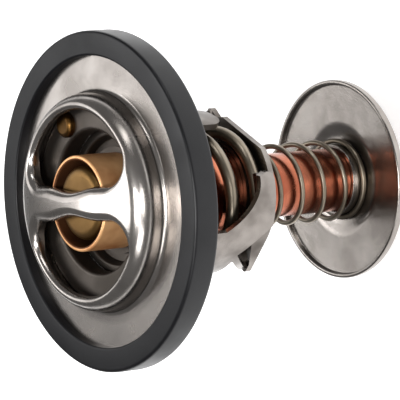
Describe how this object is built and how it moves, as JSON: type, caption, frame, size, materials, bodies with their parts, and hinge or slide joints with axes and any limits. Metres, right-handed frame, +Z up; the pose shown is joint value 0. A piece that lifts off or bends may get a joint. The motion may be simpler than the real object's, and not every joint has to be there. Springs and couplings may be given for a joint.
{
  "type": "engine thermostat",
  "caption": "Engine cooling thermostat: domed flange in a rubber seal, copper wax element through a leg frame, coil springs and a flat bypass disc.",
  "frame": {"origin": "centre of the ring that the bypass disc rests on, on the valve's axis", "axes": "+Z up the valve's axis from the bypass disc towards the dome; +X along the dome's bridge; +Y across it, towards the window over the vent pin"},
  "size_m": [0.066, 0.066, 0.0685],
  "materials": {
    "seal_rubber": "moulded satin black",
    "flange_steel": "pressed stainless sheet, soft polish",
    "frame_steel": "pressed stainless sheet",
    "bracket_steel": "pressed stainless sheet",
    "piston_steel": "ground",
    "pin_brass": "turned",
    "valve_steel": "pressed stainless sheet",
    "spring_steel": "drawn wire",
    "body_copper": "drawn copper, burnished",
    "guide_brass": "turned, satin",
    "washer_polymer": "plain",
    "boot_rubber": "moulded",
    "wax": "cast wax with copper powder",
    "plug_copper": "pressed",
    "disc_steel": "pressed stainless sheet, satin"
  },
  "bodies": {
    "housing": {"dome_flange": "flange_steel", "seat_frame": "frame_steel", "seal_ring": "seal_rubber", "lower_bracket": "bracket_steel", "piston": "piston_steel", "main_spring": "spring_steel"},
    "capsule": {"element_body": "body_copper", "piston_guide": "guide_brass", "backup_washer": "washer_polymer", "rubber_boot": "boot_rubber", "wax_charge": "wax", "capsule_plug": "plug_copper", "main_valve_disc": "valve_steel", "valve_snap_ring": "spring_steel", "bypass_spring": "spring_steel"},
    "bypass_valve": {"bypass_disc": "disc_steel"},
    "vent": {"jiggle_pin": "pin_brass"}
  },
  "joints": [
    {"name": "main_valve_slide", "type": "slide", "parent": "housing", "child": "capsule", "axis": [0, 0, -1], "range_m": [0, 0.008], "stiffness_N_per_m": 3500, "springref_m": -0.018, "deforming": ["main_spring"]},
    {"name": "bypass_valve_slide", "type": "slide", "parent": "capsule", "child": "bypass_valve", "axis": [0, 0, 1], "range_m": [0, 0.006], "stiffness_N_per_m": 343, "springref_m": -0.02, "deforming": ["bypass_spring"]},
    {"name": "vent_pin_slide", "type": "slide", "parent": "housing", "child": "vent", "axis": [0, 0, 1], "range_m": [0, 0.0009]}
  ]
}
